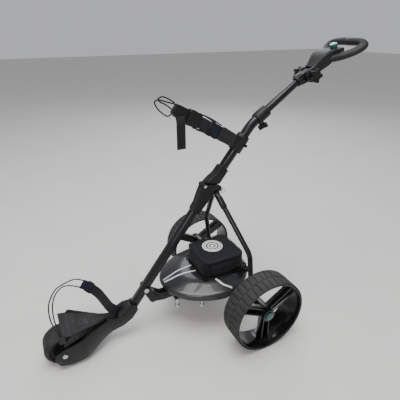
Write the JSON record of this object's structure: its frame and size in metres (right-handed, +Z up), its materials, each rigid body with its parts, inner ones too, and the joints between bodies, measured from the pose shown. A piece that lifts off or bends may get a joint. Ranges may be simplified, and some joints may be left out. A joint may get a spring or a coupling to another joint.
{
  "type": "electric golf trolley",
  "caption": "Folding electric golf trolley with drum wheels, a battery bag on a dish, bag supports with elastic straps and a loop handle on a telescopic shaft",
  "frame": {"origin": "on the ground at the middle of the width and length", "axes": "+X across to the left-hand rear wheel, +Y to the rear (handle end), +Z up"},
  "size_m": [0.606, 1.229, 1.0138],
  "materials": {
    "tyre_rubber": "moulded black rubber tread, dusty",
    "rim_plastic": "gloss black moulding",
    "teal_plastic": "gloss dark teal cap",
    "black_paint": "satin black powder coat",
    "black_plastic": "fine-grained black moulding",
    "dish_plastic": "charcoal moulding, satin",
    "steel": "bright steel",
    "silver": "silver painted strip",
    "bag_fabric": "black woven nylon",
    "badge": "white print on black patch",
    "webbing": "woven nylon webbing",
    "cord": "braided elastic cord",
    "grip_rubber": "matt soft grip",
    "fork_plastic": "semi-gloss black moulding",
    "button_plastic": "pale glossy button"
  },
  "bodies": {
    "chassis": {"gearbox_shell_left": "black_paint", "gearbox_shell_right": "black_paint", "motor_body": "black_paint", "axle_tubes": "black_paint", "axle_bearings": "steel", "chassis_beam": "black_paint", "axle_brackets": "black_paint", "pivot_pins": "steel", "dish_cover": "dish_plastic", "dish_tray": "dish_plastic", "dish_trim_strips": "silver", "cross_plates": "black_paint", "dish_bolts": "steel", "battery_tray": "black_plastic", "battery_bag": "bag_fabric", "battery_case": "black_plastic", "bag_badge": "badge", "battery_lead": "cord"},
    "axle": {"rear_axle": "steel", "axle_gear": "steel"},
    "motor_rotor": {"motor_pinion": "steel"},
    "wheel_left": {"rear_tyre_left": "tyre_rubber", "rear_rim_left": "rim_plastic"},
    "wheel_right": {"rear_tyre_right": "tyre_rubber", "rear_rim_right": "rim_plastic"},
    "hub_button_left": {"hub_release_button_left": "teal_plastic"},
    "hub_button_right": {"hub_release_button_right": "teal_plastic"},
    "struts": {"rear_struts": "black_paint", "strut_yoke": "black_paint"},
    "pull_pin": {"strut_pull_pin": "steel"},
    "main_frame": {"main_tube": "black_paint", "joint_casing_left": "black_plastic", "joint_casing_right": "black_plastic", "fold_hinge_pin": "steel", "front_fork": "fork_plastic", "front_axle_bolt": "steel", "lower_cradle": "black_plastic", "lower_strap": "webbing", "lower_bungee_cords": "cord"},
    "front_wheel": {"front_tyre": "tyre_rubber", "front_hub": "black_plastic"},
    "mast": {"mast_socket": "black_plastic", "upper_tube": "black_paint", "height_collar": "black_plastic", "mast_clamp": "black_plastic", "upper_cradle": "black_plastic", "strap_clips": "black_plastic", "upper_bungee_cords": "cord", "upper_straps": "webbing"},
    "height_screw": {"height_knob": "black_plastic"},
    "telescope": {"handle_shaft": "black_paint", "tilt_bracket": "black_plastic", "tilt_bolt": "steel"},
    "handle": {"handle_grip": "grip_rubber", "handle_body": "grip_rubber"},
    "tilt_screw_left": {"tilt_knob_left": "black_plastic"},
    "tilt_screw_right": {"tilt_knob_right": "black_plastic"},
    "dial": {"speed_dial": "teal_plastic"},
    "button": {"power_button": "button_plastic"}
  },
  "joints": [
    {"name": "axle_spin", "type": "hinge", "parent": "chassis", "child": "axle", "pos_m": [0, 0.1075, 0.14], "axis": [1, 0, 0], "continuous": true},
    {"name": "motor_spin", "type": "hinge", "parent": "chassis", "child": "motor_rotor", "pos_m": [0, 0.06875, 0.14], "axis": [1, 0, 0], "continuous": true},
    {"name": "left_wheel_spin", "type": "hinge", "parent": "axle", "child": "wheel_left", "pos_m": [0.257, 0.1075, 0.14], "axis": [1, 0, 0], "continuous": true},
    {"name": "right_wheel_spin", "type": "hinge", "parent": "axle", "child": "wheel_right", "pos_m": [-0.257, 0.1075, 0.14], "axis": [1, 0, 0], "continuous": true},
    {"name": "left_hub_press", "type": "slide", "parent": "wheel_left", "child": "hub_button_left", "axis": [-1, 0, 0], "range_m": [0, 0.004], "stiffness_N_per_m": 900},
    {"name": "right_hub_press", "type": "slide", "parent": "wheel_right", "child": "hub_button_right", "axis": [1, 0, 0], "range_m": [0, 0.004], "stiffness_N_per_m": 900},
    {"name": "main_tube_fold", "type": "hinge", "parent": "chassis", "child": "main_frame", "pos_m": [0, -0.244, 0.188], "axis": [1, 0, 0], "range_deg": [-24, 0]},
    {"name": "strut_fold", "type": "hinge", "parent": "chassis", "child": "struts", "pos_m": [0, 0.1175, 0.175], "axis": [1, 0, 0], "range_deg": [-60, 0]},
    {"name": "pull_pin_slide", "type": "slide", "parent": "struts", "child": "pull_pin", "axis": [0, 0.7826, -0.6225], "range_m": [0, 0.008], "stiffness_N_per_m": 1200},
    {"name": "front_wheel_spin", "type": "hinge", "parent": "main_frame", "child": "front_wheel", "pos_m": [0, -0.5525, 0.062], "axis": [1, 0, 0], "continuous": true},
    {"name": "mast_fold", "type": "hinge", "parent": "main_frame", "child": "mast", "pos_m": [0, -0.00207, 0.54866], "axis": [1, 0, 0], "range_deg": [0, 110]},
    {"name": "height_knob_turn", "type": "hinge", "parent": "mast", "child": "height_screw", "pos_m": [0, 0.21731, 0.76215], "axis": [0, 0.575, -0.8181], "range_deg": [-360, 0]},
    {"name": "shaft_slide", "type": "slide", "parent": "mast", "child": "telescope", "axis": [0, 0.8181, 0.575], "range_m": [0, 0.02]},
    {"name": "handle_tilt", "type": "hinge", "parent": "telescope", "child": "handle", "pos_m": [0, 0.41949, 0.89447], "axis": [1, 0, 0], "range_deg": [-40, 60]},
    {"name": "left_tilt_knob_turn", "type": "hinge", "parent": "telescope", "child": "tilt_screw_left", "pos_m": [0.045, 0.41949, 0.89447], "axis": [1, 0, 0], "range_deg": [-360, 0]},
    {"name": "right_tilt_knob_turn", "type": "hinge", "parent": "telescope", "child": "tilt_screw_right", "pos_m": [-0.045, 0.41949, 0.89447], "axis": [-1, 0, 0], "range_deg": [-360, 0]},
    {"name": "speed_dial_turn", "type": "hinge", "parent": "handle", "child": "dial", "pos_m": [0, 0.5328, 0.9737], "axis": [0, -0.3665, 0.9304], "range_deg": [0, 270]},
    {"name": "power_button_press", "type": "slide", "parent": "dial", "child": "button", "axis": [0, 0.3665, -0.9304], "range_m": [0, 0.0015], "stiffness_N_per_m": 600}
  ],
  "couplings": [
    {"joint": "motor_spin", "follows": "axle_spin", "ratio": -2.6471},
    {"joint": "strut_fold", "follows": "main_tube_fold", "ratio": 2.5}
  ]
}
